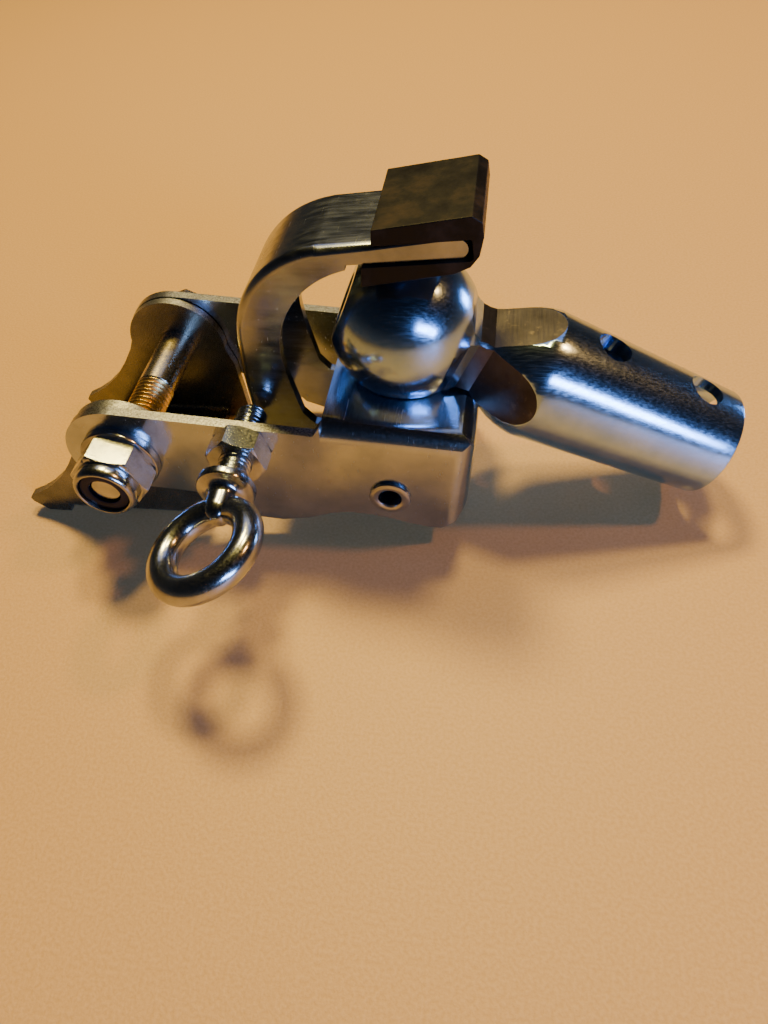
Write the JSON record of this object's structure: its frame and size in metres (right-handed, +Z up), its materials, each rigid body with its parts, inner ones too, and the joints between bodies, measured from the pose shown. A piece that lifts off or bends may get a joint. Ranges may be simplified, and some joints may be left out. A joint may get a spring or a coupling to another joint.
{
  "type": "bicycle trailer hitch",
  "caption": "Sheet-steel trailer coupling: spring-loaded hook with plastic shoe over a ball on a drawbar tube, U yoke on a clamp bolt, side eye bolt.",
  "frame": {"origin": "on the flat base of the mounting yoke, straight below the clamp bolt, in the mid plane of the coupler", "axes": "+X from the bicycle side towards the trailer, +Y across, away from the eye bolt, +Z up, away from the yoke's base"},
  "size_m": [0.1923, 0.1063, 0.0852],
  "materials": {
    "zinc_sheet": "bright blue zinc plating on pressed steel sheet, light scratches",
    "zinc_formed": "bright blue zinc plating on formed tube",
    "zinc_fastener": "bright zinc plating on turned and forged fasteners",
    "spring_steel": "drawn spring wire",
    "black_plastic": "black moulded plastic, slightly scuffed",
    "nylon": "dark blue nylon"
  },
  "bodies": {
    "yoke": {"mounting_yoke": "zinc_sheet"},
    "coupler": {"coupler_housing": "zinc_sheet", "pivot_rivet": "zinc_fastener", "spacer_near": "zinc_fastener", "spacer_far": "zinc_fastener", "hook_spring": "spring_steel", "clamp_bolt": "zinc_fastener", "washer_head": "zinc_fastener", "washer_nut": "zinc_fastener", "clamp_nut": "zinc_fastener", "nut_insert": "nylon", "eye_bolt": "zinc_fastener", "eye_nut": "zinc_fastener"},
    "hook": {"hook_lever": "zinc_sheet", "hook_cap": "black_plastic"},
    "drawbar_end": {"ball_tube": "zinc_formed"}
  },
  "joints": [
    {"name": "coupler_tilt", "type": "hinge", "parent": "yoke", "child": "coupler", "pos_m": [0, 0, 0.0275], "axis": [0, 1, 0], "range_deg": [-30, 15]},
    {"name": "hook_open", "type": "hinge", "parent": "coupler", "child": "hook", "pos_m": [0.06864, 0, 0.01727], "axis": [0, -1, 0], "range_deg": [0, 60], "stiffness_Nm_per_rad": 0.65, "springref_deg": -45.84},
    {"name": "ball_pitch", "type": "hinge", "parent": "coupler", "child": "drawbar_end", "pos_m": [0.07141, 0, 0.05135], "axis": [0, -1, 0], "range_deg": [0, 40]}
  ]
}
